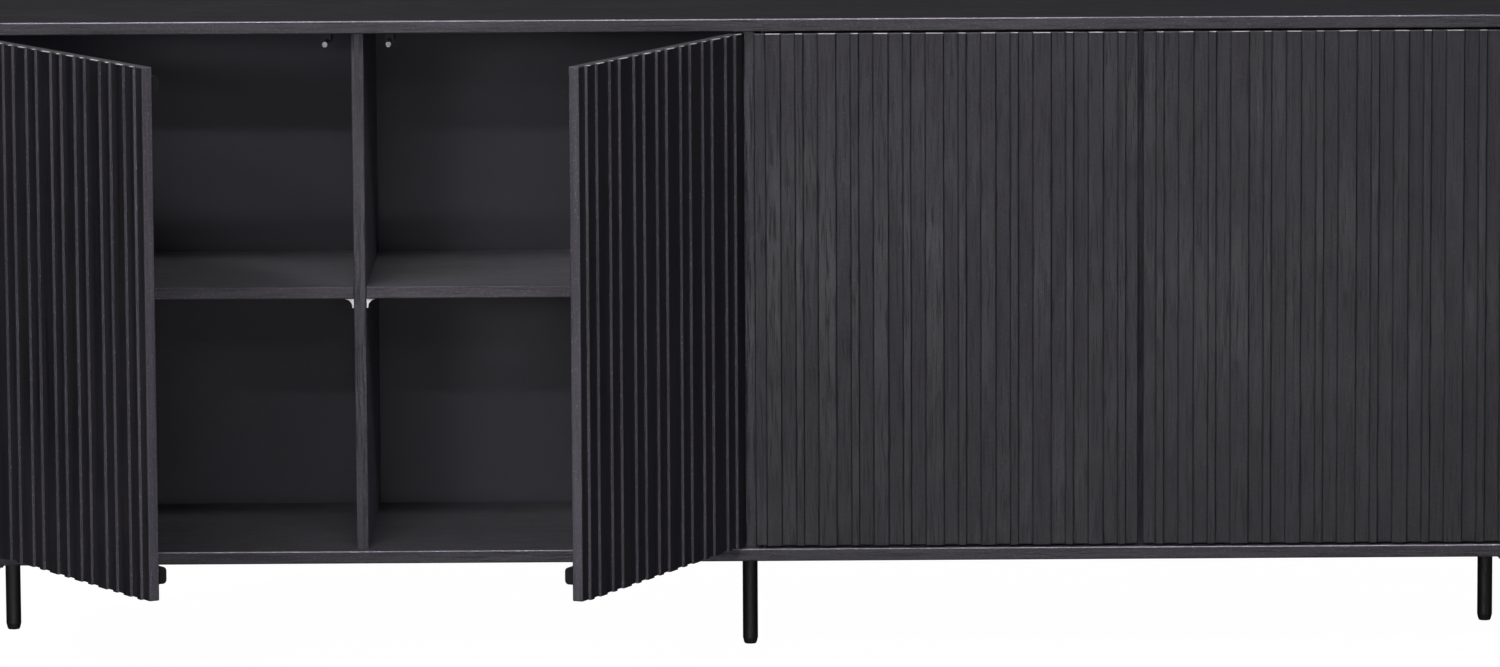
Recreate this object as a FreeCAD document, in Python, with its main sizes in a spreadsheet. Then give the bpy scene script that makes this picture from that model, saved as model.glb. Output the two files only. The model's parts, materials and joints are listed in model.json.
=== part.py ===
"""Four-door sideboard in black wood: a carcass on five tube legs, with slatted inset doors on pivot pins.

The origin is on the floor under the middle leg. X runs along the front to the right, Y from the front
to the back and Z up. All sizes are in millimetres. The two doors of the left pair stand open.
"""

import FreeCAD, Part
import os
import Sketcher

# Driving sizes. The two angles are in degrees.
SIZES = {
    "overall_width": 2000,
    "overall_depth": 440,
    "leg_height": 150,
    "carcass_height": 690,
    "board": 16,
    "edge_round": 1.5,
    "middle_leg_depth": 265,    # front plane to the axis of the middle leg
    "front_recess": 26,         # front plane to the front edges of the upright boards and shelves
    "back_face_depth": 410,     # front plane to the inner face of the back panels
    "back_board": 8,
    "groove_depth": 6,
    "groove_play": 0.2,
    "hinge_gap": 6,             # middle line to the hinge edge of an inner door
    "pair_gap": 6.4,            # between the free edges of a pair of doors
    "side_gap": 3,
    "door_gap": 3,              # above and below each door
    "door_board": 14,
    "slat_relief": 4,
    "slat_round": 0.8,
    "hinge_margin": 14.5,       # hinge edge of a door to its first slat
    "slat_medium": 18.5,
    "slat_narrow": 9.5,
    "slat_wide": 22.5,
    "slat_spacing": 18.9,
    "outer_door_angle": 59.4,
    "inner_door_angle": 65.4,
    "pin_inset": 11,            # hinge edge of a door to the axis it turns on
    "pin_radius": 2.5,
    "pin_seat": 8,              # length of a pin inside the top or bottom panel
    "pin_reach": 7,             # length of a pin inside the door
    "collar_radius": 3.6,
    "collar_height": 2.6,
    "bush_radius": 4,
    "bush_length": 11,
    "running_play": 0.05,       # radial play of a pin or plunger in its bore
    "stop_edge": 6.5,           # free edge of a door to its stop blocks
    "stop_width": 18,
    "stop_height": 21,
    "stop_depth": 13,
    "stop_round": 5,
    "top_stop_drop": 12,        # top edge of a door to its top stop block
    "bottom_stop_rise": 19,
    "strike_radius": 8,
    "strike_thickness": 1,
    "latch_offset": 40,         # middle of a pair of doors to the axis of a latch
    "latch_drop": 14.5,         # underside of the top panel to the axis of a latch
    "latch_depth": 58,          # front plane to the front of a latch housing
    "latch_length": 50,
    "latch_radius": 5.5,
    "flange_width": 32,
    "flange_thickness": 2.5,
    "plunger_depth": 19.5,      # front plane to the tip of a plunger behind a closed door
    "plunger_radius": 3.4,
    "plunger_head_radius": 3.8,
    "plunger_head_length": 4,
    "plunger_length": 80,
    "plunger_stroke": 14,       # travel of a plunger while its door turns by a right angle
    "leg_side_inset": 27,       # end of the carcass to the axis of a corner leg
    "leg_edge_inset": 28,       # front or back of the carcass to the axis of a corner leg
    "leg_radius": 9.9,
    "leg_wall": 1.5,
    "plate_side": 48,
    "plate_thickness": 3,
    "glide_height": 12,
    "glide_foot_radius": 7.2,
    "glide_side_radius": 8.3,
    "glide_plug_length": 14,
    "screw_radius": 1.8,
    "screw_head_radius": 3.6,
    "screw_head_height": 2,
    "screw_length": 11,
    "dowel_radius": 4,
    "dowel_seat": 10,           # length of a dowel inside the top or bottom panel
    "dowel_reach": 20,          # length of a dowel inside an upright board
    "dowel_inset": 60,          # ends of an upright board's edge to its outer dowels
    "support_front_inset": 8.5, # front edge of a shelf to the middle of its front supports
    "support_back_inset": 60,
    "support_width": 11,
    "support_reach": 10.5,
    "support_drop": 12,
    "support_wall": 2.3,        # thickness of a support's upright leaf
    "support_tip": 0.8,         # thickness of its shelf leaf at the far edge
    "support_hollow": 0.38,     # share of the reach and drop where its curve passes
    "support_peg_radius": 2.5,
    "support_peg_length": 7,
    "shelf_play": 0.3,          # each end of a shelf to the board beside it
    "shelf_back_gap": 1.5,      # back edge of a shelf to the back panel
    "shelf_drop": 2,            # middle of the inner height to the middle of a shelf
}

RIGHT_ANGLE = 90
UP = FreeCAD.Vector(0, 0, 1)

document = FreeCAD.newDocument("sideboard")
sheet = document.addObject("Spreadsheet::Sheet", "Sizes")
parts = []


class Size:
    """A length that carries its value and the expression that ties it to the sheet."""

    def __init__(self, value, text):
        self.value = value
        self.text = text

    def joined(self, other, sign, value):
        return Size(value, f"({self.text} {sign} {as_size(other).text})")

    def __add__(self, other):
        return self.joined(other, "+", self.value + as_size(other).value)

    def __sub__(self, other):
        return self.joined(other, "-", self.value - as_size(other).value)

    def __mul__(self, other):
        return self.joined(other, "*", self.value * as_size(other).value)

    def __truediv__(self, other):
        return self.joined(other, "/", self.value / as_size(other).value)

    def __neg__(self):
        return Size(-self.value, f"(0 - {self.text})")


def as_size(number):
    return number if isinstance(number, Size) else Size(number, str(number))


def fill_sheet():
    for row, (alias, value) in enumerate(SIZES.items(), start=1):
        sheet.set(f"A{row}", alias)
        sheet.set(f"B{row}", str(value))
        sheet.setAlias(f"B{row}", alias)
    document.recompute()


def size(alias):
    return Size(SIZES[alias], f"{sheet.Name}.{alias}")


def bind(item, name, length):
    item.setExpression(name, as_size(length).text)


def place(item, x, y, z, turn=0):
    """Stands an object at a point, turned about its own Z axis by an angle in degrees."""
    item.Placement = FreeCAD.Placement(FreeCAD.Vector(), FreeCAD.Rotation(UP, as_size(turn).value))
    for axis, length in zip("xyz", (x, y, z)):
        bind(item, f"Placement.Base.{axis}", length)
    return item


def keep(item, label):
    """Names a finished sub-part, so that it is written to a file of that name."""
    item.Label = label
    parts.append(item)
    return item


# Sketches and features ------------------------------------------------------------------------------


def new_body(label):
    body = document.addObject("PartDesign::Body", label)
    return keep(body, label)


def new_sketch(body, plane="XY_Plane", lift=0):
    sketch = body.newObject("Sketcher::SketchObject", f"{body.Name}_sketch")
    support = next(item for item in body.Origin.OriginFeatures if item.Role == plane)
    sketch.AttachmentSupport = [(support, "")]
    sketch.MapMode = "FlatFace"
    bind(sketch, "AttachmentOffset.Base.z", lift)
    return sketch


def dimension(sketch, kind, picks, length):
    length = as_size(length)
    index = sketch.addConstraint(Sketcher.Constraint(kind, *picks, length.value))
    sketch.setExpression(f"Constraints[{index}]", length.text)


def polygon(sketch, points):
    """Draws a closed outline with each corner held at its own distances from the sketch's origin."""
    corners = [FreeCAD.Vector(as_size(x).value, as_size(y).value, 0) for x, y in points]
    first = sketch.GeometryCount
    for start, end in zip(corners, corners[1:] + corners[:1]):
        sketch.addGeometry(Part.LineSegment(start, end), False)
    for side, (x, y) in enumerate(points):
        following = first + (side + 1) % len(points)
        sketch.addConstraint(Sketcher.Constraint("Coincident", first + side, 2, following, 1))
        dimension(sketch, "DistanceX", (-1, 1, first + side, 1), x)
        dimension(sketch, "DistanceY", (-1, 1, first + side, 1), y)


def rectangle(sketch, x, y, width, height):
    right = as_size(x) + width
    top = as_size(y) + height
    polygon(sketch, [(x, y), (right, y), (right, top), (x, top)])


def circle(sketch, x, y, radius):
    centre = FreeCAD.Vector(as_size(x).value, as_size(y).value, 0)
    index = sketch.addGeometry(Part.Circle(centre, UP, as_size(radius).value), False)
    dimension(sketch, "DistanceX", (-1, 1, index, 3), x)
    dimension(sketch, "DistanceY", (-1, 1, index, 3), y)
    dimension(sketch, "Radius", (index,), radius)


def pad(body, sketch, length, reverse=False):
    feature = body.newObject("PartDesign::Pad", f"{body.Name}_pad")
    feature.Profile = sketch
    feature.Reversed = reverse
    bind(feature, "Length", length)
    return feature


def pocket(body, sketch, depth, reverse=False):
    feature = body.newObject("PartDesign::Pocket", f"{body.Name}_pocket")
    feature.Profile = sketch
    feature.Reversed = reverse
    bind(feature, "Length", depth)
    return feature


def revolve(body, sketch):
    feature = body.newObject("PartDesign::Revolution", f"{body.Name}_turned")
    feature.Profile = sketch
    feature.ReferenceAxis = (sketch, ["V_Axis"])
    feature.Angle = 360
    return feature


def round_edges(body, radius, chosen):
    """Rounds those edges of a body's last feature whose box, in the body's own frame, is chosen."""
    document.recompute()
    base = body.Tip
    names = []
    for number, edge in enumerate(base.Shape.Edges, start=1):
        if chosen(edge.BoundBox):
            names.append(f"Edge{number}")
    feature = body.newObject("PartDesign::Fillet", f"{body.Name}_rounded")
    feature.Base = (base, names)
    bind(feature, "Radius", radius)


def near(first, second):
    return abs(first - as_size(second).value) < 1e-4


def block(label, x, y, z, width, depth, height):
    """A rectangular piece whose lower front left corner is at the given point."""
    body = new_body(label)
    sketch = new_sketch(body)
    rectangle(sketch, 0, 0, width, depth)
    pad(body, sketch, height)
    return place(body, x, y, z)


def drill(body, places, radius, depth, lift=0, up=True):
    """Sinks vertical holes from one level, upwards or downwards."""
    sketch = new_sketch(body, lift=lift)
    for x, y in places:
        circle(sketch, x, y, radius)
    pocket(body, sketch, depth, reverse=up)


def rod(radius, height, x=0, y=0, z=0):
    """A plain upright cylinder, for the fastenings that are joined into one node."""
    cylinder = document.addObject("Part::Cylinder", "rod")
    bind(cylinder, "Radius", radius)
    bind(cylinder, "Height", height)
    return place(cylinder, x, y, z)


def fuse(items):
    joined = document.addObject("Part::MultiFuse", "joined")
    joined.Shapes = items
    return joined


def group(label, items):
    compound = document.addObject("Part::Compound", label)
    compound.Links = items
    return keep(compound, label)


# Places shared by several pieces --------------------------------------------------------------------

fill_sheet()

BOARD = size("board")
HALF_WIDTH = size("overall_width") / 2
FRONT = -size("middle_leg_depth")
BACK = FRONT + size("overall_depth")
BASE = size("leg_height")
FLOOR_TOP = BASE + BOARD
CEILING = BASE + size("carcass_height") - BOARD
INNER_HEIGHT = CEILING - FLOOR_TOP
BACK_FACE = FRONT + size("back_face_depth")
RECESSED_FRONT = FRONT + size("front_recess")
UPRIGHT_DEPTH = size("back_face_depth") - size("front_recess")
INNER_SIDE = HALF_WIDTH - BOARD
DOOR_WIDTH = (INNER_SIDE - size("side_gap") - size("pair_gap") - size("hinge_gap")) / 2
DOOR_HEIGHT = INNER_HEIGHT - size("door_gap") * 2
DOOR_LOW = FLOOR_TOP + size("door_gap")
PIVOT_Y = FRONT + size("slat_relief") + size("door_board") / 2
OUTER_PIVOT = INNER_SIDE - size("side_gap") - size("pin_inset")
INNER_PIVOT = size("hinge_gap") + size("pin_inset")
PAIR_MIDDLE = size("hinge_gap") + DOOR_WIDTH + size("pair_gap") / 2
SHELF_TOP = FLOOR_TOP + (INNER_HEIGHT + BOARD) / 2 - size("shelf_drop")
BUSH_BORE = size("bush_radius") + size("running_play")
DOWEL_HOLE = size("dowel_radius") + size("running_play")

# Each door: name, X of the axis it turns on, the side its free edge is on (1 is +X), its opening
# angle and the X of the middle of its pair.
DOORS = [
    ("door_1", -OUTER_PIVOT, 1, size("outer_door_angle"), -PAIR_MIDDLE),
    ("door_2", -INNER_PIVOT, -1, size("inner_door_angle"), -PAIR_MIDDLE),
    ("door_3", INNER_PIVOT, 1, as_size(0), PAIR_MIDDLE),
    ("door_4", OUTER_PIVOT, -1, as_size(0), PAIR_MIDDLE),
]

# Each upright board: name, X of its left face, and the Y of its front and its depth.
UPRIGHTS = [
    ("left_side_panel", -HALF_WIDTH, FRONT, size("overall_depth")),
    ("left_divider", -PAIR_MIDDLE - BOARD / 2, RECESSED_FRONT, UPRIGHT_DEPTH),
    ("centre_partition", -BOARD / 2, RECESSED_FRONT, UPRIGHT_DEPTH),
    ("right_divider", PAIR_MIDDLE - BOARD / 2, RECESSED_FRONT, UPRIGHT_DEPTH),
    ("right_side_panel", INNER_SIDE, FRONT, size("overall_depth")),
]

LEG_X = HALF_WIDTH - size("leg_side_inset")
LEGS = [
    ("front_left", -LEG_X, FRONT + size("leg_edge_inset")),
    ("front_right", LEG_X, FRONT + size("leg_edge_inset")),
    ("back_left", -LEG_X, BACK - size("leg_edge_inset")),
    ("back_right", LEG_X, BACK - size("leg_edge_inset")),
    ("middle", as_size(0), as_size(0)),
]


def dowel_places():
    """The places of the dowels along each upright board, as X and Y."""
    places = []
    for _, left, board_front, depth in UPRIGHTS:
        inset = size("dowel_inset")
        for y in (inset, depth / 2, depth - inset):
            places.append((left + BOARD / 2, board_front + y))
    return places


def leg_screw_places(x, y):
    reach = size("plate_side") / 2 - size("screw_head_radius") * 2
    return [(x + reach * side, y + reach * end) for side in (-1, 1) for end in (-1, 1)]


def latch_screw_places(latch_x):
    reach = (size("latch_radius") + size("flange_width") / 2) / 2
    middle = FRONT + size("latch_depth") + size("latch_length") / 2
    return [(latch_x - reach, middle), (latch_x + reach, middle)]


def latch_places():
    """The X of each door's latch, which is on the door's own side of the pair's middle."""
    return [middle - size("latch_offset") * side for _, _, side, _, middle in DOORS]


# Carcass --------------------------------------------------------------------------------------------


def horizontal_panel(label, low, hole_level, up):
    """The top or bottom panel, with its dowel and pin holes and the groove for the back panels."""
    body = block(label, -HALF_WIDTH, FRONT, low, size("overall_width"), size("overall_depth"), BOARD)
    round_edges(body, size("edge_round"), lambda box: True)

    def local(places):
        return [(x + HALF_WIDTH, y - FRONT) for x, y in places]

    drill(body, local(dowel_places()), DOWEL_HOLE, size("dowel_seat"), hole_level, up)
    pins = [(pivot, PIVOT_Y) for _, pivot, _, _, _ in DOORS]
    drill(body, local(pins), size("pin_radius"), size("pin_seat"), hole_level, up)
    groove = new_sketch(body, lift=hole_level)
    start = BOARD - size("groove_depth")
    length = size("overall_width") - start * 2
    rectangle(groove, start, size("back_face_depth"), length, size("back_board") + size("groove_play"))
    pocket(body, groove, size("groove_depth"), reverse=up)
    return body, local


def top_panel():
    body, local = horizontal_panel("top_panel", CEILING, as_size(0), up=True)
    places = [place for x in latch_places() for place in latch_screw_places(x)]
    drill(body, local(places), size("screw_radius"), size("screw_length"))


def bottom_panel():
    body, local = horizontal_panel("bottom_panel", BASE, BOARD, up=False)
    places = [place for _, x, y in LEGS for place in leg_screw_places(x, y)]
    drill(body, local(places), size("screw_radius"), size("screw_length"))


def upright_boards():
    for label, left, board_front, depth in UPRIGHTS:
        body = block(label, left, board_front, FLOOR_TOP, BOARD, depth, INNER_HEIGHT)
        round_edges(body, size("edge_round"), lambda box: near(box.YMax, 0) and box.ZLength > box.XLength)
        inset = size("dowel_inset")
        places = [(BOARD / 2, y) for y in (inset, depth / 2, depth - inset)]
        drill(body, places, DOWEL_HOLE, size("dowel_reach"))
        drill(body, places, DOWEL_HOLE, size("dowel_reach"), INNER_HEIGHT, up=False)
        if "side_panel" in label:
            inner_face = BOARD if label.startswith("left") else as_size(0)
            groove = new_sketch(body, "YZ_Plane", inner_face)
            rectangle(groove, size("back_face_depth"), 0, size("back_board") + size("groove_play"), INNER_HEIGHT)
            pocket(body, groove, size("groove_depth"), reverse=label.startswith("right"))


def back_panels():
    """Two thin panels that stand in the groove and meet behind the partition."""
    play = size("groove_play")
    tongue = size("groove_depth") - play
    width = INNER_SIDE + tongue - play / 2
    height = INNER_HEIGHT + tongue * 2
    for label, left in (("left_back_panel", -INNER_SIDE - tongue), ("right_back_panel", play / 2)):
        block(label, left, BACK_FACE + play / 2, FLOOR_TOP - tongue, width, size("back_board"), height)


def bays():
    """The left and right face of the space between each two upright boards."""
    faces = [left for _, left, _, _ in UPRIGHTS]
    return [(left + BOARD, right) for left, right in zip(faces, faces[1:])]


def shelves():
    play = size("shelf_play")
    for number, (left, right) in enumerate(bays(), start=1):
        width = right - left - play * 2
        low = SHELF_TOP - BOARD
        depth = UPRIGHT_DEPTH - size("shelf_back_gap")
        body = block(f"shelf_{number}", left + play, RECESSED_FRONT, low, width, depth, BOARD)
        round_edges(body, size("edge_round"), lambda box: near(box.YMax, 0) and box.XLength > box.ZLength)


def dowels():
    length = size("dowel_seat") + size("dowel_reach")
    rods = []
    for x, y in dowel_places():
        rods.append(rod(size("dowel_radius"), length, x, y, FLOOR_TOP - size("dowel_seat")))
        rods.append(rod(size("dowel_radius"), length, x, y, CEILING - size("dowel_reach")))
    group("dowels", rods)


def shelf_support(inward):
    """One support: a shelf leaf that curves down into an upright leaf with a round end, and a peg.

    Its origin is on the board's face under the shelf, and inward is 1 where the bay is on the +X side.
    """
    reach, drop, width, wall = (SIZES[f"support_{name}"] for name in ("reach", "drop", "width", "wall"))
    hollow = SIZES["support_hollow"]
    end = drop - wall / 2
    start = FreeCAD.Vector()
    shelf_edge = FreeCAD.Vector(reach, 0, 0)
    tip = FreeCAD.Vector(reach, 0, -SIZES["support_tip"])
    inner_end = FreeCAD.Vector(wall, 0, -end)
    outer_end = FreeCAD.Vector(0, 0, -end)
    outline = [
        Part.LineSegment(start, shelf_edge).toShape(),
        Part.LineSegment(shelf_edge, tip).toShape(),
        Part.Arc(tip, FreeCAD.Vector(reach * hollow, 0, -drop * hollow), inner_end).toShape(),
        Part.Arc(inner_end, FreeCAD.Vector(wall / 2, 0, -drop), outer_end).toShape(),
        Part.LineSegment(outer_end, start).toShape(),
    ]
    gusset = Part.Face(Part.Wire(outline)).extrude(FreeCAD.Vector(0, width, 0))
    gusset.translate(FreeCAD.Vector(0, -width / 2, 0))
    peg_start = FreeCAD.Vector(wall / 2, 0, -drop / 2)
    peg_length = SIZES["support_peg_length"] + wall / 2
    peg = Part.makeCylinder(SIZES["support_peg_radius"], peg_length, peg_start, FreeCAD.Vector(-1, 0, 0))
    shape = gusset.fuse(peg).removeSplitter()
    if inward < 0:
        shape = shape.mirror(FreeCAD.Vector(), FreeCAD.Vector(1, 0, 0))
    return shape


def support_levels():
    """The Y of the front and back supports of a shelf."""
    return (RECESSED_FRONT + size("support_front_inset"), BACK_FACE - size("support_back_inset"))


def shelf_supports():
    supports = []
    for left, right in bays():
        for face, inward in ((left, 1), (right, -1)):
            for y in support_levels():
                support = shelf_support(inward)
                support.translate(FreeCAD.Vector(face.value, y.value, (SHELF_TOP - BOARD).value))
                supports.append(support)
    feature = document.addObject("Part::Feature", "shelf_supports")
    feature.Shape = Part.makeCompound(supports)
    keep(feature, "shelf_supports")


def drill_support_holes():
    """Sinks the pegs' holes into both faces of every board that carries shelves."""
    height = SHELF_TOP - BOARD - size("support_drop") / 2 - FLOOR_TOP
    for label, left, board_front, _ in UPRIGHTS:
        body = next(item for item in parts if item.Label == label)
        faces = []
        if label != "right_side_panel":
            faces.append((BOARD, False))
        if label != "left_side_panel":
            faces.append((as_size(0), True))
        for level, inwards in faces:
            sketch = new_sketch(body, "YZ_Plane", level)
            for y in support_levels():
                circle(sketch, y - board_front, height, size("support_peg_radius"))
            pocket(body, sketch, size("support_peg_length"), reverse=inwards)


def pivot_pins():
    """The steel pins that the doors turn on, each with a collar that holds the door off the panel."""
    pins = []
    length = size("pin_seat") + size("door_gap") + size("pin_reach")
    for _, x, _, _, _ in DOORS:
        low_pin = rod(size("pin_radius"), length, x, PIVOT_Y, FLOOR_TOP - size("pin_seat"))
        low_collar = rod(size("collar_radius"), size("collar_height"), x, PIVOT_Y, FLOOR_TOP)
        high_pin = rod(size("pin_radius"), length, x, PIVOT_Y, CEILING + size("pin_seat") - length)
        high_level = CEILING - size("collar_height")
        high_collar = rod(size("collar_radius"), size("collar_height"), x, PIVOT_Y, high_level)
        pins.append(fuse([low_pin, low_collar]))
        pins.append(fuse([high_pin, high_collar]))
    group("pivot_pins", pins)


# Doors ----------------------------------------------------------------------------------------------
# A door's pieces are drawn in the closed position, about an origin on the axis it turns on, level with
# its lower edge. Placing them turns them to the opening angle.


def along(side, start, width):
    """The lower X of a stretch of a door that starts at a distance from its hinge edge."""
    if side > 0:
        return start - size("pin_inset")
    return size("pin_inset") - start - width


def place_on_door(body, door):
    _, pivot, side, angle, _ = door
    return place(body, pivot, PIVOT_Y, DOOR_LOW, turn=-angle * side)


def door_block(label, side, start, width, back, depth, low, height):
    """A rectangular piece of a door, placed by its distance from the hinge edge."""
    body = new_body(label)
    sketch = new_sketch(body, lift=low)
    rectangle(sketch, along(side, start, width), back, width, depth)
    pad(body, sketch, height)
    return body


def door_panel(door):
    name, _, side, _, _ = door
    thickness = size("door_board")
    body = door_block(f"{name}_panel", side, as_size(0), DOOR_WIDTH, -thickness / 2, thickness, 0, DOOR_HEIGHT)
    round_edges(body, size("edge_round"), lambda box: True)
    drill(body, [(0, 0)], BUSH_BORE, size("bush_length"))
    drill(body, [(0, 0)], BUSH_BORE, size("bush_length"), DOOR_HEIGHT, up=False)
    place_on_door(body, door)


def slat_places():
    """The start and width of each slat, counted from the hinge edge."""
    rhythm = ("slat_medium", "slat_narrow", "slat_wide", "slat_narrow")
    start = size("hinge_margin")
    places = []
    for number in range(14):
        width = size(rhythm[number % len(rhythm)])
        places.append((start, width))
        start = start + width + size("slat_spacing")
    return places


def door_slats(door):
    """Fourteen slats glued to the front of the door board, rounded along their front edges."""
    name, _, side, _, _ = door
    body = new_body(f"{name}_slats")
    body.AllowCompound = True
    sketch = new_sketch(body)
    front = -size("door_board") / 2 - size("slat_relief")
    for start, width in slat_places():
        rectangle(sketch, along(side, start, width), front, width, size("slat_relief"))
    pad(body, sketch, DOOR_HEIGHT)
    round_edges(body, size("slat_round"), lambda box: near(box.YMax, front))
    place_on_door(body, door)


def door_stops(door):
    """The two rounded black blocks behind the free edge, near the top and the bottom of the door."""
    name, _, side, _, _ = door
    width = size("stop_width")
    start = DOOR_WIDTH - size("stop_edge") - width
    back = size("door_board") / 2
    levels = {
        "top_stop": DOOR_HEIGHT - size("top_stop_drop") - size("stop_height"),
        "bottom_stop": size("bottom_stop_rise"),
    }
    for part_name, low in levels.items():
        depth = size("stop_depth")
        body = door_block(f"{name}_{part_name}", side, start, width, back, depth, low, size("stop_height"))
        far = back + depth
        round_edges(body, size("stop_round"), lambda box: near(box.YMin, far) and box.XLength > 1)
        place_on_door(body, door)


def door_strike(door):
    """A steel disc on the back of the door, where the plunger of its latch meets it."""
    name, _, side, _, _ = door
    body = new_body(f"{name}_strike_plate")
    sketch = new_sketch(body, "XZ_Plane", -size("door_board") / 2)
    edge_distance = size("latch_offset") - size("pair_gap") / 2
    centre = along(side, DOOR_WIDTH - edge_distance, as_size(0))
    circle(sketch, centre, CEILING - size("latch_drop") - DOOR_LOW, size("strike_radius"))
    pad(body, sketch, size("strike_thickness"), reverse=True)
    place_on_door(body, door)


def door_bushes(door):
    """The two bushes that the pins turn in, at the top and the bottom of the door's hinge edge."""
    name, pivot, _, _, _ = door
    bushes = []
    for level in (DOOR_LOW, DOOR_LOW + DOOR_HEIGHT - size("bush_length")):
        ring = document.addObject("Part::Cut", "ring")
        ring.Base = rod(size("bush_radius"), size("bush_length"), pivot, PIVOT_Y, level)
        bore = size("pin_radius") + size("running_play")
        ring.Tool = rod(bore, size("bush_length"), pivot, PIVOT_Y, level)
        bushes.append(ring)
    group(f"{name}_bushes", bushes)


# Push latches ---------------------------------------------------------------------------------------


def latch_housing(label, latch_x):
    """A barrel under a screw flange. Its origin is on the barrel's axis at its front face."""
    body = new_body(label)
    length = size("latch_length")
    bore = size("plunger_radius") + size("running_play")
    barrel = new_sketch(body, "XZ_Plane")
    circle(barrel, 0, 0, size("latch_radius"))
    pad(body, barrel, length, reverse=True)
    neck = new_sketch(body, "XZ_Plane")
    rectangle(neck, -size("latch_radius"), 0, size("latch_radius") * 2, size("latch_drop"))
    pad(body, neck, length, reverse=True)
    flange = new_sketch(body, "XZ_Plane")
    thickness = size("flange_thickness")
    level = size("latch_drop") - thickness
    rectangle(flange, -size("flange_width") / 2, level, size("flange_width"), thickness)
    pad(body, flange, length, reverse=True)
    hollow = new_sketch(body, "XZ_Plane")
    circle(hollow, 0, 0, bore)
    pocket(body, hollow, length - size("flange_thickness"))
    holes = latch_screw_places(as_size(0))
    local = [(x, y - FRONT - size("latch_depth")) for x, y in holes]
    drill(body, local, size("screw_radius"), thickness, level)
    place(body, latch_x, FRONT + size("latch_depth"), CEILING - size("latch_drop"))


def latch_plunger(label, latch_x, angle):
    """A turned steel plunger with a dished head, standing out by its share of the stroke."""
    body = new_body(label)
    sketch = new_sketch(body)
    head = size("plunger_head_radius")
    chamfer = size("edge_round") / 3
    dish = size("plunger_radius") / 2
    polygon(sketch, [
        (0, chamfer),
        (dish, chamfer),
        (dish, 0),
        (head - chamfer, 0),
        (head, chamfer),
        (head, size("plunger_head_length")),
        (size("plunger_radius"), size("plunger_head_length")),
        (size("plunger_radius"), size("plunger_length")),
        (0, size("plunger_length")),
    ])
    revolve(body, sketch)
    travel = size("plunger_stroke") * angle / RIGHT_ANGLE
    place(body, latch_x, FRONT + size("plunger_depth") - travel, CEILING - size("latch_drop"))


def screw(x, y, z):
    """A round-headed screw that points up, its head under the level z."""
    head = size("screw_head_height")
    shank = rod(size("screw_radius"), size("screw_length") + head, x, y, z - head)
    return fuse([shank, rod(size("screw_head_radius"), head, x, y, z - head)])


def latches():
    screws = []
    for (name, _, _, angle, _), latch_x in zip(DOORS, latch_places()):
        latch_housing(f"{name}_latch_housing", latch_x)
        latch_plunger(f"{name}_latch_plunger", latch_x, angle)
        for x, y in latch_screw_places(latch_x):
            screws.append(screw(x, y, CEILING - size("flange_thickness")))
    group("latch_screws", screws)


# Legs -----------------------------------------------------------------------------------------------


def leg(label, x, y):
    """A steel tube welded to a square screw plate. Its origin is on the floor."""
    body = new_body(label)
    tube = new_sketch(body, lift=size("glide_height"))
    circle(tube, 0, 0, size("leg_radius"))
    circle(tube, 0, 0, size("leg_radius") - size("leg_wall"))
    plate_low = BASE - size("plate_thickness")
    pad(body, tube, plate_low - size("glide_height"))
    plate = new_sketch(body, lift=plate_low)
    side = size("plate_side")
    rectangle(plate, -side / 2, -side / 2, side, side)
    for hole_x, hole_y in leg_screw_places(as_size(0), as_size(0)):
        circle(plate, hole_x, hole_y, size("screw_radius"))
    pad(body, plate, size("plate_thickness"))
    place(body, x, y, 0)


def glide(label, x, y):
    """A turned foot that closes the tube: a plug, a shoulder under the tube and a rounded foot."""
    body = new_body(label)
    sketch = new_sketch(body, "XZ_Plane")
    shoulder = size("leg_radius")
    plug = shoulder - size("leg_wall")
    height = size("glide_height")
    polygon(sketch, [
        (0, 0),
        (size("glide_foot_radius"), 0),
        (size("glide_side_radius"), size("edge_round")),
        (shoulder, height * 2 / 3),
        (shoulder, height),
        (plug, height),
        (plug, height + size("glide_plug_length")),
        (0, height + size("glide_plug_length")),
    ])
    revolve(body, sketch)
    place(body, x, y, 0)


def legs():
    screws = []
    for name, x, y in LEGS:
        leg(f"{name}_leg", x, y)
        glide(f"{name}_glide", x, y)
        for screw_x, screw_y in leg_screw_places(x, y):
            screws.append(screw(screw_x, screw_y, BASE - size("plate_thickness")))
    group("leg_screws", screws)


# Build, check and write -----------------------------------------------------------------------------


def build():
    top_panel()
    bottom_panel()
    upright_boards()
    back_panels()
    shelves()
    drill_support_holes()
    shelf_supports()
    dowels()
    pivot_pins()
    for door in DOORS:
        door_panel(door)
        door_slats(door)
        door_stops(door)
        door_strike(door)
        door_bushes(door)
    latches()
    legs()
    document.recompute()


def check():
    for item in document.Objects:
        if "Invalid" in item.State or "Error" in item.State:
            raise RuntimeError(f"{item.Label} failed: {item.State}")
    for part in parts:
        if part.Shape.isNull() or not part.Shape.isValid() or not part.Shape.Solids:
            raise RuntimeError(f"{part.Label} has no valid shape")


def write():
    os.makedirs("parts", exist_ok=True)
    for part in parts:
        part.Shape.exportStep(f"parts/{part.Label}.step")
    print(f"{len(parts)} sub-parts written")


build()
check()
write()
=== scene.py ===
"""Looks for the four-door sideboard: black-stained wood, slatted doors, tube legs and a pale studio.

Metres and degrees. Every place on the object comes from the frame's boxes.
"""

import json
import math

import bpy
from mathutils import Matrix, Vector


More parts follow.
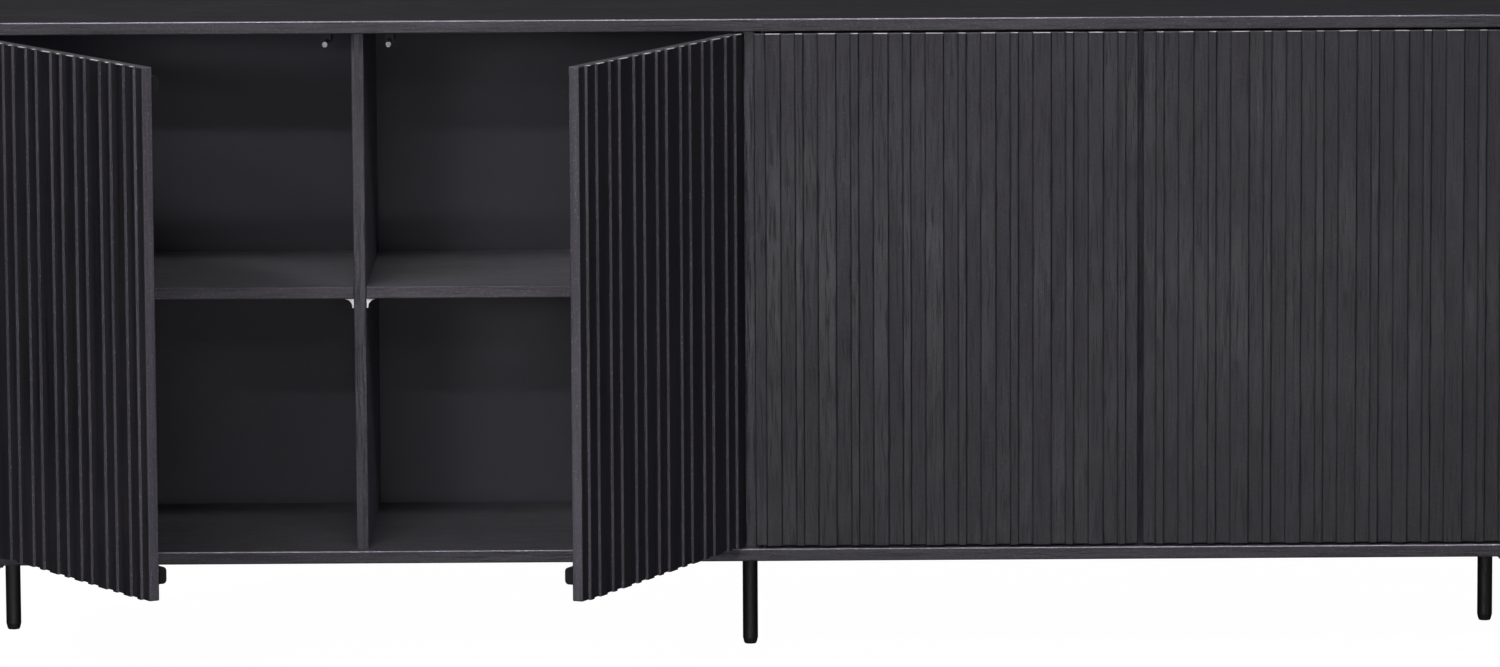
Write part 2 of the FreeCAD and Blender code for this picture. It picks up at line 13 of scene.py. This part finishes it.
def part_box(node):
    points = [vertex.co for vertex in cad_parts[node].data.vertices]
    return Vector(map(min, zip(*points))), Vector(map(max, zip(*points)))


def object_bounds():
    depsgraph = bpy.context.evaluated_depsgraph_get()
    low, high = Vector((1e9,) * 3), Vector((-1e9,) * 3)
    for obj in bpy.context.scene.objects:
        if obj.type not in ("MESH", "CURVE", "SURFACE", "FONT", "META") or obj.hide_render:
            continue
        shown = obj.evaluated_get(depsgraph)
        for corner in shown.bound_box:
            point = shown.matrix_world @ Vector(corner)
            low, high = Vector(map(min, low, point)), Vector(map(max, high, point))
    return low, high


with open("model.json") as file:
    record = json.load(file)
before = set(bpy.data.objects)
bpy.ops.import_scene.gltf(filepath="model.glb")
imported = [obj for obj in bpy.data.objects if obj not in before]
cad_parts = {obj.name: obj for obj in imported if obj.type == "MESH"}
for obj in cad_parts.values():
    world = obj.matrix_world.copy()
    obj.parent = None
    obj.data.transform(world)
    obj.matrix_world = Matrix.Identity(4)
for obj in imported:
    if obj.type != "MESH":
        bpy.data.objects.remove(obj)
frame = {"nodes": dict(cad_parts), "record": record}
CAD_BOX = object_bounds()

SENSOR_WIDTH = 36.0
FOCAL_LENGTH = 186.0
CAMERA_DISTANCE = 9.708         # from the front of the carcass
CAMERA_SIDE = -0.066
CAMERA_HEIGHT = 1.7055
CAMERA_YAW = 0.387              # to the right
CAMERA_PITCH = 7.419            # downwards
CAMERA_ROLL = 0.291             # the picture's right side rises

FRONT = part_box("top_panel")[0].y
MIDDLE = Vector(((CAD_BOX[0].x + CAD_BOX[1].x) / 2, (CAD_BOX[0].y + CAD_BOX[1].y) / 2, 0))
TOP = CAD_BOX[1].z

# Soft boxes: name, metres right of the middle, ahead of the front and above the floor, width, depth, watts.
LIGHTS = (
    ("low_left", -7, 8, 0.5, 1.8, 0.6, 16),
    ("low_middle", 0, 8, 0.4, 2.0, 0.4, 18),
    ("low_right", 7, 8, 0.5, 1.8, 0.6, 20),
    ("middle_left", -3, 8, 1.8, 1.8, 0.6, 70),
    ("strip_left", -4, 6.4, 3.4, 1.8, 0.1, 30),
    ("strip_middle", -1.5, 6.4, 3.4, 1.8, 0.1, 52),
    ("far_ceiling", 0, 10, 3.4, 2.0, 0.5, 34),
    ("near_ceiling_left", -3, 2.7, 3.4, 1.8, 0.4, 60),
    ("near_ceiling_middle", 0, 2.7, 3.4, 1.8, 0.4, 50),
    ("floor_fill", 0, 3, 0.15, 3.0, 0.2, 12),
    ("right_side", 6, 1, 1, 1.0, 1.0, 4),
    ("rear", 0, -5, 0.6, 1.2, 0.4, 90),
)
LIGHT_COLOUR = (1.03, 1.0, 1.08)
AMBIENT = 0.078                 # the backdrop's own light
FLAGGED = 0.006                 # the same, behind the dark flags that shade the open doors
FLAG_SIDES = (0.3, 0.55)        # share of a direction to the left or right where the flags begin and are full
FLAG_BACK = (-0.1, 0.2)         # the same for its share to the back
FLOOR_SIZE = 120
FLOOR_TONE = 0.1
FLOOR_GLOW = 0.98               # the floor's own light, so that shadows on it stay pale

# Studio ---------------------------------------------------------------------------------------------


def add_camera():
    """The camera of the front view, set by its place, its three turns and its lens."""
    yaw, pitch, roll = (math.radians(a) for a in (CAMERA_YAW, CAMERA_PITCH, CAMERA_ROLL))
    forward = Vector((math.sin(yaw) * math.cos(pitch), math.cos(yaw) * math.cos(pitch), -math.sin(pitch)))
    level_right = forward.cross(Vector((0, 0, 1))).normalized()
    level_up = level_right.cross(forward)
    right = level_right * math.cos(roll) - level_up * math.sin(roll)
    up = level_up * math.cos(roll) + level_right * math.sin(roll)
    data = bpy.data.cameras.new("camera")
    data.sensor_width = SENSOR_WIDTH
    data.lens = FOCAL_LENGTH
    data.clip_end = 200
    camera = bpy.data.objects.new("camera", data)
    turn = Matrix((right, up, -forward)).transposed().to_4x4()
    place = Vector((CAMERA_SIDE, FRONT - CAMERA_DISTANCE, CAMERA_HEIGHT))
    camera.matrix_world = Matrix.Translation(place) @ turn
    bpy.context.scene.collection.objects.link(camera)
    bpy.context.scene.camera = camera


def area_light(name, side, ahead, height, width, depth, power):
    """A soft box that looks at the middle of the object, placed to its right, ahead of its front and up."""
    data = bpy.data.lights.new(name, "AREA")
    data.shape = "RECTANGLE"
    data.size = width
    data.size_y = depth
    data.energy = power
    data.color = LIGHT_COLOUR
    place = Vector((side, FRONT - ahead, height))
    light = bpy.data.objects.new(name, data)
    light.rotation_mode = "QUATERNION"
    light.rotation_quaternion = (MIDDLE + Vector((0, 0, TOP / 2)) - place).to_track_quat("-Z", "Y")
    light.location = place
    light.visible_camera = False
    bpy.context.scene.collection.objects.link(light)


def add_world():
    """A white backdrop that lights the object only faintly, and least from behind on the left and right."""
    world = bpy.data.worlds.new("studio")
    world.use_nodes = True
    tree = world.node_tree

    def slope(source, low, high):
        """How far a number has gone from low to high, between 0 and 1."""
        made = tree.nodes.new("ShaderNodeMapRange")
        made.inputs["From Min"].default_value = low
        made.inputs["From Max"].default_value = high
        tree.links.new(source, made.inputs["Value"])
        return made

    axes = tree.nodes.new("ShaderNodeSeparateXYZ")
    tree.links.new(tree.nodes.new("ShaderNodeTexCoord").outputs["Generated"], axes.inputs["Vector"])
    sideways = tree.nodes.new("ShaderNodeMath")
    sideways.operation = "ABSOLUTE"
    tree.links.new(axes.outputs["X"], sideways.inputs[0])
    flag = tree.nodes.new("ShaderNodeMath")
    flag.operation = "MULTIPLY"
    tree.links.new(slope(sideways.outputs["Value"], *FLAG_SIDES).outputs["Result"], flag.inputs[0])
    tree.links.new(slope(axes.outputs["Y"], *FLAG_BACK).outputs["Result"], flag.inputs[1])
    glow = slope(flag.outputs["Value"], 0.0, 1.0)
    glow.inputs["To Min"].default_value = AMBIENT
    glow.inputs["To Max"].default_value = FLAGGED
    seen = tree.nodes.new("ShaderNodeLightPath").outputs["Is Camera Ray"]
    strength = slope(seen, 0.0, 1.0)
    tree.links.new(glow.outputs["Result"], strength.inputs["To Min"])
    tree.links.new(strength.outputs["Result"], tree.nodes["Background"].inputs["Strength"])
    tree.nodes["Background"].inputs["Color"].default_value = (1, 1, 1, 1)
    bpy.context.scene.world = world


def add_floor():
    """A wide pale floor, a little bright of itself, so that shadows on it stay soft and light."""
    half = FLOOR_SIZE / 2
    mesh = bpy.data.meshes.new("floor")
    corners = [(-half, -half, 0), (half, -half, 0), (half, half, 0), (-half, half, 0)]
    mesh.from_pydata(corners, [], [(0, 1, 2, 3)])
    floor = bpy.data.objects.new("floor", mesh)
    bpy.context.scene.collection.objects.link(floor)
    material = bpy.data.materials.new("floor")
    material.use_nodes = True
    shader = material.node_tree.nodes["Principled BSDF"]
    shader.inputs["Base Color"].default_value = (FLOOR_TONE, FLOOR_TONE, FLOOR_TONE, 1)
    shader.inputs["Roughness"].default_value = 1.0
    shader.inputs["Specular IOR Level"].default_value = 0.0
    shader.inputs["Emission Color"].default_value = (1, 1, 1, 1)
    shader.inputs["Emission Strength"].default_value = FLOOR_GLOW
    mesh.materials.append(material)
    floor.visible_diffuse = False
    floor.visible_glossy = False


# Materials ------------------------------------------------------------------------------------------


class Maker:
    """Builds one node material around a Principled shader, in the object's own coordinates.

    Texture scales are in repeats per metre, and bump distances in metres.
    """

    def __init__(self, name, roughness, **fixed):
        self.material = bpy.data.materials.new(name)
        self.material.use_nodes = True
        self.tree = self.material.node_tree
        self.shader = self.tree.nodes["Principled BSDF"]
        self.shader.inputs["Roughness"].default_value = roughness
        for socket, value in fixed.items():
            self.shader.inputs[socket.replace("_", " ")].default_value = value
        self.place = self.tree.nodes.new("ShaderNodeTexCoord").outputs["Object"]

    def node(self, kind, **settings):
        made = self.tree.nodes.new(kind)
        for name, value in settings.items():
            setattr(made, name, value)
        return made

    def link(self, source, target):
        self.tree.links.new(source, target)

    def set(self, socket, value):
        if isinstance(value, bpy.types.NodeSocket):
            self.link(value, socket)
        else:
            socket.default_value = value

    def stretched(self, scale, source=None, turn=0.0):
        mapping = self.node("ShaderNodeMapping")
        self.link(source or self.place, mapping.inputs["Vector"])
        mapping.inputs["Scale"].default_value = scale
        mapping.inputs["Rotation"].default_value = (0, 0, turn)
        return mapping.outputs["Vector"]

    def noise(self, vector, scale, detail=2.0, rough=0.5, distortion=0.0):
        made = self.node("ShaderNodeTexNoise")
        self.link(vector, made.inputs["Vector"])
        made.inputs["Scale"].default_value = scale
        made.inputs["Detail"].default_value = detail
        made.inputs["Roughness"].default_value = rough
        made.inputs["Distortion"].default_value = distortion
        return made.outputs["Fac"]

    def range(self, value, low, high, new_low=0.0, new_high=1.0):
        made = self.node("ShaderNodeMapRange", clamp=True)
        self.link(value, made.inputs["Value"])
        limits = {"From Min": low, "From Max": high, "To Min": new_low, "To Max": new_high}
        for name, number in limits.items():
            made.inputs[name].default_value = number
        return made.outputs["Result"]

    def math(self, operation, first, second=0.0):
        made = self.node("ShaderNodeMath", operation=operation)
        self.set(made.inputs[0], first)
        self.set(made.inputs[1], second)
        return made.outputs["Value"]

    def mix(self, factor, first, second):
        made = self.node("ShaderNodeMix", data_type="RGBA")
        colours = [socket for socket in made.inputs if socket.type == "RGBA"]
        self.set(made.inputs["Factor"], factor)
        self.set(colours[0], first)
        self.set(colours[1], second)
        return next(socket for socket in made.outputs if socket.type == "RGBA")

    def axis(self, source, number):
        made = self.node("ShaderNodeSeparateXYZ")
        self.link(source, made.inputs["Vector"])
        return made.outputs[number]

    def normal_axis(self, number):
        return self.axis(self.node("ShaderNodeTexCoord").outputs["Normal"], number)

    def bump(self, height, strength, distance):
        made = self.node("ShaderNodeBump")
        self.link(height, made.inputs["Height"])
        made.inputs["Strength"].default_value = strength
        made.inputs["Distance"].default_value = distance
        self.link(made.outputs["Normal"], self.shader.inputs["Normal"])

    def colour(self, source):
        self.link(source, self.shader.inputs["Base Color"])

    def roughness(self, source):
        self.link(source, self.shader.inputs["Roughness"])


def grey(value, blue=1.0, red=1.0):
    """A grey, with its blue and red as shares of its green."""
    return (value * red, value, value * blue, 1)


SCUFF_SLANT = 0.35              # radians from the grain


def along_grain(across, length, along):
    """A figure's scales: one for both ways across the grain, and one along it."""
    scale = [across] * 3
    scale[along] = length
    return scale


def shifted_place(wood, seed):
    """The object's own coordinates, moved so that each wood has its own figure."""
    shifted = wood.node("ShaderNodeVectorMath", operation="ADD")
    wood.link(wood.place, shifted.inputs[0])
    shifted.inputs[1].default_value = (seed, seed * 2, seed * 3)
    return shifted.outputs["Vector"]


def stain_colour(wood, spot, along, dark, light, grain, pores, cloud):
    """Stain laid over the grain, with cloudy lacquer, open pores, dust specks and pale streaks."""
    speck = wood.range(wood.noise(spot, 420.0, 1.0, 0.5), 0.6, 0.76)
    tick = wood.noise(wood.stretched(along_grain(700.0, 240.0, along), spot), 1.0, 2.0, 0.7)
    grain_share = wood.math("MULTIPLY", wood.range(grain, 0.32, 0.68), 0.55)
    grain_share = wood.math("ADD", grain_share, wood.range(tick, 0.3, 0.7, 0.0, 0.45))
    base = wood.mix(grain_share, grey(dark * 0.3, 1.18, 1.03), grey(light * 1.8, 1.16, 1.03))
    tint = wood.range(cloud, 0.38, 0.64)
    toned = wood.mix(wood.math("MULTIPLY", tint, 0.5), base, grey(light * 1.4, 1.22, 1.14))
    pored = wood.mix(wood.math("MULTIPLY", pores, 0.55), toned, grey(dark * 0.45, 1.1))
    specked = wood.mix(wood.math("MULTIPLY", speck, 0.45), pored, grey(light * 4.5, 1.1, 1.02))
    streaks = wood.noise(wood.stretched(along_grain(520.0, 2.2, along), spot), 1.0, 2.0, 0.6)
    streak_share = wood.math("MULTIPLY", wood.range(streaks, 0.6, 0.78), 0.35)
    return wood.mix(streak_share, specked, grey(light * 3.5, 1.1, 1.03))


def scuff_marks(wood, spot, along):
    """Where the surface is scuffed: short rubs that cross the grain a little, gathered in patches."""
    rubbed = wood.stretched(along_grain(30.0, 6.0, along), spot, SCUFF_SLANT)
    scuffs = wood.noise(rubbed, 2.0, 5.0, 0.7, 1.2)
    patches = wood.range(wood.noise(spot, 2.1, 2.0, 0.5), 0.5, 0.62)
    return wood.math("MULTIPLY", wood.range(scuffs, 0.67, 0.8), patches)


def pale_end_and_painted_highlight(wood, spot, colour, end_and_highlight):
    """Lightens the faces that look up: pale unstained end grain, lightened further as a painted highlight of
    the light from above.
    """
    end = wood.range(wood.normal_axis(2), 0.1, 0.4)
    rough_end = wood.range(wood.noise(spot, 180.0, 3.0, 0.7), 0.3, 0.7, 0.6, 1.0)
    return wood.mix(wood.math("MULTIPLY", end, rough_end), colour, grey(end_and_highlight, 0.99))


def painted_crevice_shade(wood, colour, reach):
    """Painted shade: a dark, dull line where slats meet their board, in colour and gloss, as far out of the
    corner as the reach.
    """
    corner = wood.node("ShaderNodeAmbientOcclusion", samples=8)
    corner.inputs["Distance"].default_value = reach
    unshaded_share = wood.range(corner.outputs["AO"], 0.6, 0.95, 0.3, 1.0)
    gloss = wood.math("MULTIPLY", unshaded_share, 0.5)
    wood.link(gloss, wood.shader.inputs["Specular IOR Level"])
    return wood.mix(unshaded_share, grey(0.001), colour)


def stained_wood(name, along, dark, light, seed, end_and_highlight=0.0, crevice_shade_reach=0.0, sheen=0.0):
    """Black-stained timber: fine long grain, pores, cloudy lacquer and faint scuffs.

    Of the looks after the seed, the first is the lightness of the faces that look up, pale end grain
    lightened further as a painted highlight; the second is how far painted shade reaches out of inner
    corners; and sheen the pale look along a dusty, open-pored face.
    """
    wood = Maker(name, 0.5, Sheen_Weight=sheen)
    spot = shifted_place(wood, seed)
    grain = wood.noise(wood.stretched(along_grain(60.0, 1.2, along), spot), 3.0, 6.0, 0.62, 0.3)
    pores = wood.noise(wood.stretched(along_grain(260.0, 9.0, along), spot), 2.6, 3.0, 0.55)
    pores = wood.range(pores, 0.55, 0.72)
    cloud = wood.noise(spot, 3.2, 4.0, 0.6)
    marks = scuff_marks(wood, spot, along)
    stain = stain_colour(wood, spot, along, dark, light, grain, pores, cloud)
    colour = wood.mix(wood.math("MULTIPLY", marks, 0.5), stain, grey(0.05, 1.02, 1.04))
    # Upward faces: pale end grain, lightened further as a painted highlight.
    if end_and_highlight:
        colour = pale_end_and_painted_highlight(wood, spot, colour, end_and_highlight)
    # Painted shade in inner corners, in colour and gloss.
    if crevice_shade_reach:
        colour = painted_crevice_shade(wood, colour, crevice_shade_reach)
    wood.colour(colour)
    satin = wood.math("ADD", wood.range(cloud, 0.35, 0.65, 0.34, 0.6), wood.math("MULTIPLY", pores, 0.15))
    wood.roughness(wood.math("SUBTRACT", satin, wood.math("MULTIPLY", marks, 0.1)))
    fine = wood.math("SUBTRACT", wood.math("MULTIPLY", grain, 0.6), wood.math("MULTIPLY", pores, 0.8))
    wave = wood.noise(wood.stretched(along_grain(34.0, 7.0, along), spot), 1.0, 4.0, 0.6)
    wood.bump(wood.math("ADD", fine, wood.math("MULTIPLY", wave, 1.5)), 0.6, 0.0007)
    return wood.material


def back_board():
    """Thin painted board: an even fine stipple and slow cloudy marks from handling."""
    board = Maker("back_board", 0.6)
    stipple = board.noise(board.place, 900.0, 2.0, 0.6)
    cloud = board.noise(board.place, 2.6, 4.0, 0.6)
    share = board.range(cloud, 0.35, 0.68)
    base = board.mix(share, grey(0.024, 1.28, 1.02), grey(0.037, 1.28, 1.06))
    board.colour(board.mix(board.range(stipple, 0.55, 0.75, 0.0, 0.5), base, grey(0.065, 1.15, 1.02)))
    board.roughness(board.range(cloud, 0.3, 0.7, 0.5, 0.62))
    board.bump(stipple, 0.25, 0.0002)
    return board.material


def moulded(name, tone, roughness, blue=1.0, gloss=0.5):
    """Moulded plastic: a fine spark-eroded texture with slow gloss changes and rubbed spots."""
    plastic = Maker(name, roughness, Specular_IOR_Level=gloss)
    texture = plastic.noise(plastic.place, 2600.0, 2.0, 0.6)
    cloud = plastic.noise(plastic.place, 60.0, 3.0, 0.6)
    rubbed = plastic.range(plastic.noise(plastic.place, 240.0, 4.0, 0.65), 0.58, 0.72)
    low = grey(tone * 0.86, blue)
    high = grey(min(tone * 1.16, 0.95), blue)
    base = plastic.mix(plastic.range(cloud, 0.35, 0.65), low, high)
    worn = grey(min(tone * 1.5 + 0.003, 0.95), blue)
    plastic.colour(plastic.mix(plastic.math("MULTIPLY", rubbed, 0.35), base, worn))
    low_gloss = plastic.range(cloud, 0.3, 0.7, roughness - 0.05, roughness + 0.07)
    plastic.roughness(plastic.math("SUBTRACT", low_gloss, plastic.math("MULTIPLY", rubbed, 0.08)))
    plastic.bump(texture, 0.2, 0.00008)
    return plastic.material


def powder_coat():
    """Black powder coat on steel tube: orange-peel texture, dust and slight rubbed streaks up and down the
    tube.
    """
    coat = Maker("leg_metal", 0.42)
    peel = coat.noise(coat.place, 950.0, 3.0, 0.55)
    cloud = coat.noise(coat.place, 24.0, 4.0, 0.6)
    base = coat.mix(coat.range(cloud, 0.32, 0.68), grey(0.006), grey(0.010, 1.02))
    rub = coat.range(coat.noise(coat.stretched((90.0, 90.0, 14.0)), 2.0, 5.0, 0.7), 0.6, 0.74)
    coat.colour(coat.mix(coat.math("MULTIPLY", rub, 0.25), base, grey(0.035)))
    coat.roughness(coat.range(cloud, 0.3, 0.7, 0.36, 0.5))
    coat.bump(peel, 0.3, 0.0002)
    return coat.material


def metal(name, tone, roughness, along):
    """Plated or turned steel: fine tool lines along or around the piece, dull stains and small scratches."""
    steel = Maker(name, roughness, Metallic=1.0)
    lines = steel.noise(steel.stretched(along_grain(40.0, 1400.0, along)), 1.0, 3.0, 0.6)
    stain = steel.noise(steel.place, 120.0, 4.0, 0.65)
    base = steel.mix(steel.range(stain, 0.35, 0.7), grey(tone, 1.02), grey(tone * 0.7, 1.0, 1.02))
    steel.colour(steel.mix(steel.range(lines, 0.5, 0.75, 0.0, 0.4), base, grey(tone * 0.5)))
    steel.roughness(steel.range(stain, 0.3, 0.7, roughness - 0.06, roughness + 0.12))
    steel.bump(lines, 0.25, 0.00006)
    return steel.material


def beech():
    """Plain beech for the dowels: warm, with fine flecks along the piece."""
    wood = Maker("dowel_wood", 0.55)
    grain = wood.noise(wood.stretched((300.0, 300.0, 18.0)), 2.0, 5.0, 0.6, 0.4)
    flecks = wood.range(wood.noise(wood.stretched((900.0, 900.0, 120.0)), 2.0, 2.0, 0.5), 0.6, 0.7)
    base = wood.mix(wood.range(grain, 0.3, 0.7), (0.42, 0.27, 0.15, 1), (0.58, 0.41, 0.25, 1))
    wood.colour(wood.mix(wood.math("MULTIPLY", flecks, 0.5), base, (0.25, 0.14, 0.07, 1)))
    wood.roughness(wood.range(grain, 0.3, 0.7, 0.5, 0.65))
    wood.bump(grain, 0.3, 0.0001)
    return wood.material


# Each stained wood: name, axis of its grain, its darkest and lightest stain, seed and other looks.
WOODS = (
    ("carcass_wood_level", 0, 0.0145, 0.0245, 1.7, {}),
    ("carcass_wood_upright", 2, 0.0150, 0.0250, 4.1, {}),
    # Shelf boards, shelf tops and the floor's top: copies of the same black wood, set lighter or darker than
    # the carcass to paint how the light falls on them.
    ("shelf_wood", 0, 0.021, 0.035, 2.2, {}),
    ("inner_level", 0, 0.014, 0.022, 5.3, {"sheen": 0.15}),
    ("inner_floor", 0, 0.021, 0.031, 6.7, {"sheen": 0.1}),
    # Inner uprights' sides: far lighter than the carcass, painting the light that grazes them.
    ("lit_divider_side", 2, 0.075, 0.11, 8.7, {}),
    # Rounded upper front edges of the level boards: much lighter wood, a painted highlight.
    ("painted_highlight_arris", 0, 0.24, 0.30, 3.7, {}),
    # Door board: its upward faces lightened as pale end grain plus a little painted highlight; painted shade
    # in the corners where the slats meet it.
    ("door_wood", 2, 0.0065, 0.0115, 7.3, {"end_and_highlight": 0.13, "crevice_shade_reach": 0.0022}),
    # Door board's side edges: lighter than its face, painting the light they catch.
    ("lit_door_edge", 2, 0.034, 0.048, 2.9, {}),
    # Slats: their tops lightened almost to white, pale end grain made mostly into a painted highlight.
    ("slat_wood", 2, 0.0065, 0.0115, 9.9, {"end_and_highlight": 0.95}),
    # Slats' sides: lighter than their faces, painting the light they catch.
    ("lit_slat_side", 2, 0.040, 0.058, 6.1, {}),
)

# Each plastic: name, tone, roughness and other looks.
PLASTICS = (
    ("support_plastic", 0.92, 0.4, {"blue": 0.98}),
    ("stop_plastic", 0.012, 0.4, {"gloss": 0.2}),
    ("bush_plastic", 0.02, 0.35, {}),
    ("latch_plastic", 0.004, 0.45, {"gloss": 0.35}),
    ("glide_plastic", 0.009, 0.48, {}),
)

# Each steel: name, tone, roughness and the axis that its tool lines cross.
STEELS = (
    ("plunger_steel", 0.24, 0.36, 1),
    ("strike_steel", 0.55, 0.34, 0),
    ("pin_steel", 0.05, 0.4, 2),
    ("screw_steel", 0.5, 0.32, 2),
)


def make_finishes():
    """Every material, by name. Wood on level boards has its grain along X, and on uprights along Z."""
    finishes = {"back_board": back_board(), "dowel_wood": beech(), "leg_metal": powder_coat()}
    for name, along, dark, light, seed, looks in WOODS:
        finishes[name] = stained_wood(name, along, dark, light, seed, **looks)
    for name, tone, roughness, looks in PLASTICS:
        finishes[name] = moulded(name, tone, roughness, **looks)
    for name, tone, roughness, along in STEELS:
        finishes[name] = metal(name, tone, roughness, along)
    return finishes


LEVEL_BOARDS = ("top_panel", "bottom_panel")
INNER_UPRIGHTS = ("left_divider", "right_divider", "centre_partition")
FACING = 0.9                    # least share of a face's normal along the way that it looks
FLAT_SIDE = 0.97                # the same, which leaves out the rounded edges of a slat
ARRIS = 0.15                    # least share to the front and upwards on a rounded upper edge


def split(node, material, chosen):
    """Gives a second material to the chosen faces of a node, by their normals."""
    node.data.materials.append(material)
    number = len(node.data.materials) - 1
    for face in node.data.polygons:
        if chosen(face.normal):
            face.material_index = number


def dress_sides(node, material, facing):
    """Finishes the upright sides of a door board or its slats, which look along the door's width, with a
    lighter wood that paints the light they catch.
    """
    broad = max(node.data.polygons, key=lambda face: face.area).normal
    along = broad.cross(Vector((0, 0, 1)))
    split(node, material, lambda normal: abs(normal.dot(along)) > facing)


def dress_board(name, node, finishes):
    """Finishes the parts of a carcass board that look unlike the rest of it, all with painted light: a
    highlight on the rounded upper front edges, lighter or darker tops on the floor and shelves, and lit sides
    on the inner uprights.
    """
    if name in LEVEL_BOARDS:
        # Painted highlight: the rounded upper front edges get a much lighter wood.
        split(node, finishes["painted_highlight_arris"], lambda normal: -normal.y > ARRIS and normal.z > ARRIS)
    # Painted light: the floor's top and the shelf tops get their own lighter or darker copy of the wood.
    if name == "bottom_panel":
        split(node, finishes["inner_floor"], lambda normal: normal.z > FACING)
    if name.startswith("shelf_"):
        split(node, finishes["inner_level"], lambda normal: normal.z > FACING)
    if name in INNER_UPRIGHTS:
        # Painted light: the inner uprights' sides get a much lighter wood for the light they catch.
        split(node, finishes["lit_divider_side"], lambda normal: abs(normal.x) > FACING)


def board_finish(name):
    """The name of a carcass board's main finish."""
    # Shelves get a lighter wood, painting the light on their front edges.
    if name.startswith("shelf_"):
        return "shelf_wood"
    return "carcass_wood_level" if name in LEVEL_BOARDS else "carcass_wood_upright"


def dress():
    """Gives every node its finish, by the slot that its record names."""
    finishes = make_finishes()
    slots = {part["node"]: part["material_slot"] for part in frame["record"]["subparts"]}
    for name, node in frame["nodes"].items():
        slot = slots[name]
        main = board_finish(name) if slot == "carcass_wood" else slot
        node.data.materials.clear()
        node.data.materials.append(finishes[main])
        if slot == "carcass_wood":
            dress_board(name, node, finishes)
        # Painted light: the door boards' and slats' sides get a lighter wood.
        if slot == "door_wood":
            dress_sides(node, finishes["lit_door_edge"], FACING)
        if slot == "slat_wood":
            dress_sides(node, finishes["lit_slat_side"], FLAT_SIDE)


add_world()
add_camera()
for light in LIGHTS:
    area_light(*light)
add_floor()
dress()

bpy.context.scene.view_settings.view_transform = "Standard"
